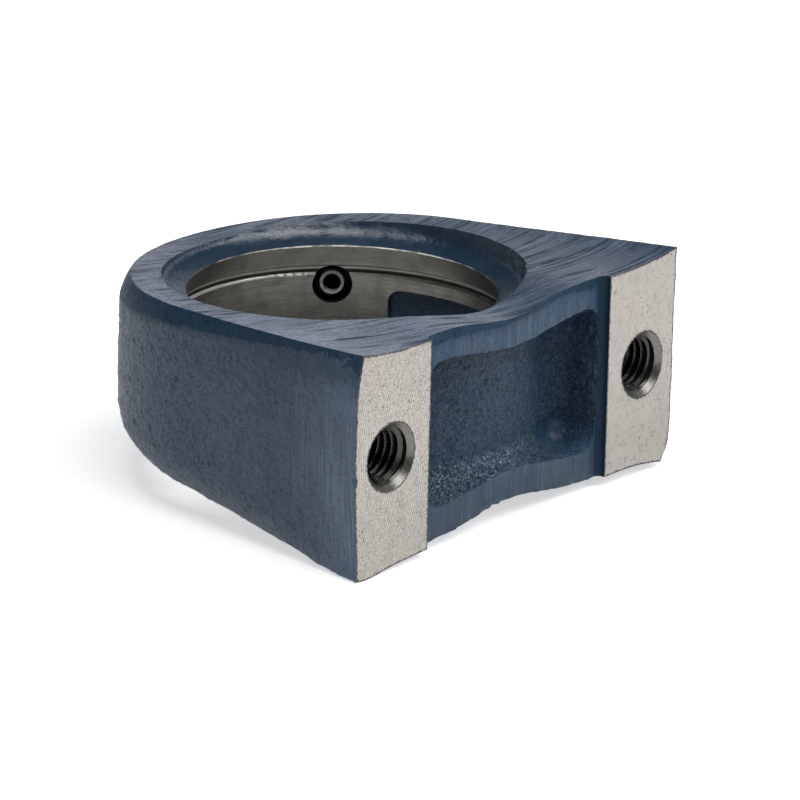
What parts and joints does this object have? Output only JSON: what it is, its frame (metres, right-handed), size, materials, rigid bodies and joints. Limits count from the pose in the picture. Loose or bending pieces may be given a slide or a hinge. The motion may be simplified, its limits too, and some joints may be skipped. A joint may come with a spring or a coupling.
{
  "type": "pillow block bearing housing",
  "caption": "Short-base cast iron bearing housing lying on its side: spherical seat with loading slots, two tapped feet and a grease nipple.",
  "frame": {"origin": "centre of the spherical bearing seat", "axes": "+Z along the bore axis, away from the loading slots; +X along the base, towards the grease nipple's side; the feet face -Y"},
  "size_m": [0.1044, 0.0941, 0.0466],
  "materials": {
    "housing": "grey iron casting in thin dark blue enamel, with bare milled feet and a bare turned seat",
    "nipple": "zinc plated turned steel",
    "check_ball": "polished bearing steel",
    "check_spring": "bright drawn spring wire"
  },
  "bodies": {
    "housing_body": {"housing": "housing", "grease_nipple_body": "nipple", "nipple_check_spring": "check_spring"},
    "check_ball_body": {"nipple_check_ball": "check_ball"}
  },
  "joints": [
    {"name": "check_ball_slide", "type": "slide", "parent": "housing_body", "child": "check_ball_body", "axis": [-0.7314, -0.682, 0], "range_m": [0, 0.001], "stiffness_N_per_m": 100, "deforming": ["nipple_check_spring"]}
  ]
}
